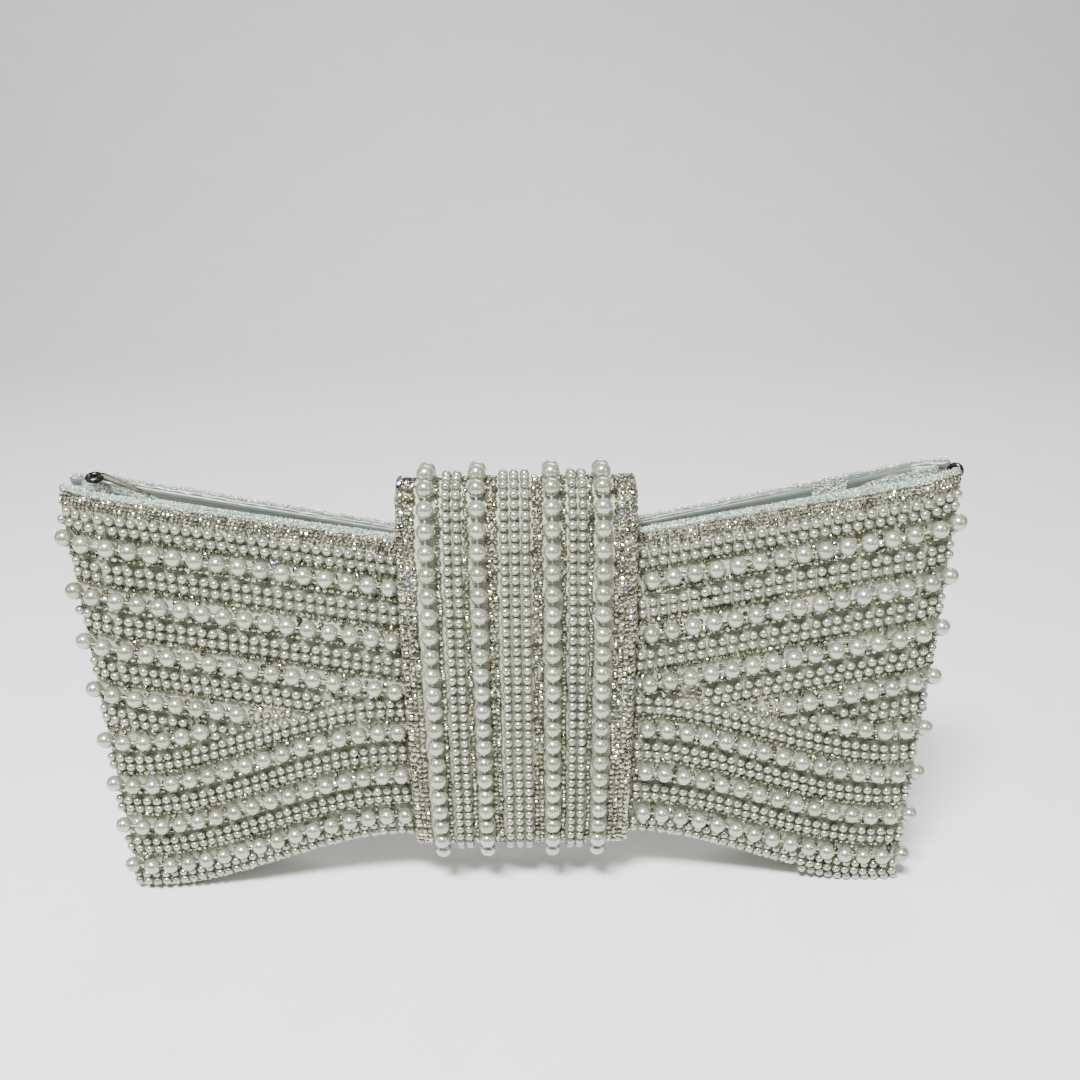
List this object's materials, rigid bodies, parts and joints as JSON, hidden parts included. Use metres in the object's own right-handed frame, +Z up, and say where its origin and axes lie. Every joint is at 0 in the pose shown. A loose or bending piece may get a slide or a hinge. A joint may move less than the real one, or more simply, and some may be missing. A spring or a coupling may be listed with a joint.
{
  "type": "evening bag",
  "caption": "Bow-shaped beaded evening clutch with pearl-covered wings, an arched knot flap that lifts and a front panel that tilts open.",
  "frame": {"origin": "middle of the footprint, on the surface that the bag stands on", "axes": "+X along the bow towards the right wing as seen from the front, front towards -Y, +Z up"},
  "size_m": [0.2968, 0.0534, 0.1609],
  "materials": {
    "beading_ground": "woven silver-grey ground cloth under the beads",
    "pearl": "pearlescent coated bead",
    "crystal": "small foiled glass stones, silver with a faint gold cast",
    "glitter_binding": "pale silver-mint glitter cloth",
    "lining": "teal-grey satin",
    "board": "stiffening board",
    "dark_metal": "polished dark nickel",
    "steel": "plain steel"
  },
  "bodies": {
    "root": {"back_skin": "beading_ground", "gusset_left": "beading_ground", "gusset_right": "beading_ground", "base_panel": "beading_ground", "back_board": "board", "back_lining": "lining", "slip_pocket": "lining", "pocket_binding": "glitter_binding", "inner_tab": "glitter_binding", "back_lip": "glitter_binding", "back_lip_wire": "steel", "corner_ring_left": "dark_metal", "corner_ring_right": "dark_metal", "ring_tab_left": "glitter_binding", "ring_tab_right": "glitter_binding", "pocket_stay": "dark_metal", "fold_cord": "beading_ground", "back_band_skin": "beading_ground", "back_band_board": "board", "back_band_pearls": "pearl", "pearls_back_left_upper": "pearl", "pearls_back_left_lower": "pearl", "pearls_back_right_upper": "pearl", "pearls_back_right_lower": "pearl"},
    "front_panel": {"front_skin": "beading_ground", "front_board": "board", "front_lining": "lining", "front_lip": "glitter_binding", "front_lip_wire": "steel", "front_magnet": "steel", "pearls_front_left_upper": "pearl", "pearls_front_left_lower": "pearl", "pearls_front_right_upper": "pearl", "pearls_front_right_lower": "pearl"},
    "knot_flap": {"knot_skin": "beading_ground", "knot_board": "board", "knot_lining": "lining", "knot_magnet": "steel", "knot_edging_left": "crystal", "knot_edging_right": "crystal", "knot_pearls_1": "pearl", "knot_pearls_2": "pearl", "knot_pearls_3": "pearl", "knot_pearls_4": "pearl"}
  },
  "joints": [
    {"name": "knot_lift", "type": "hinge", "parent": "root", "child": "knot_flap", "pos_m": [0, 0.01036, 0.1296], "axis": [-1, 0, 0], "range_deg": [0, 100]},
    {"name": "front_tilt", "type": "hinge", "parent": "root", "child": "front_panel", "pos_m": [0, -0.0125, 0.0003], "axis": [1, 0, 0], "range_deg": [0, 5]}
  ],
  "couplings": [
    {"joint": "front_tilt", "follows": "knot_lift", "ratio": 0.05}
  ]
}
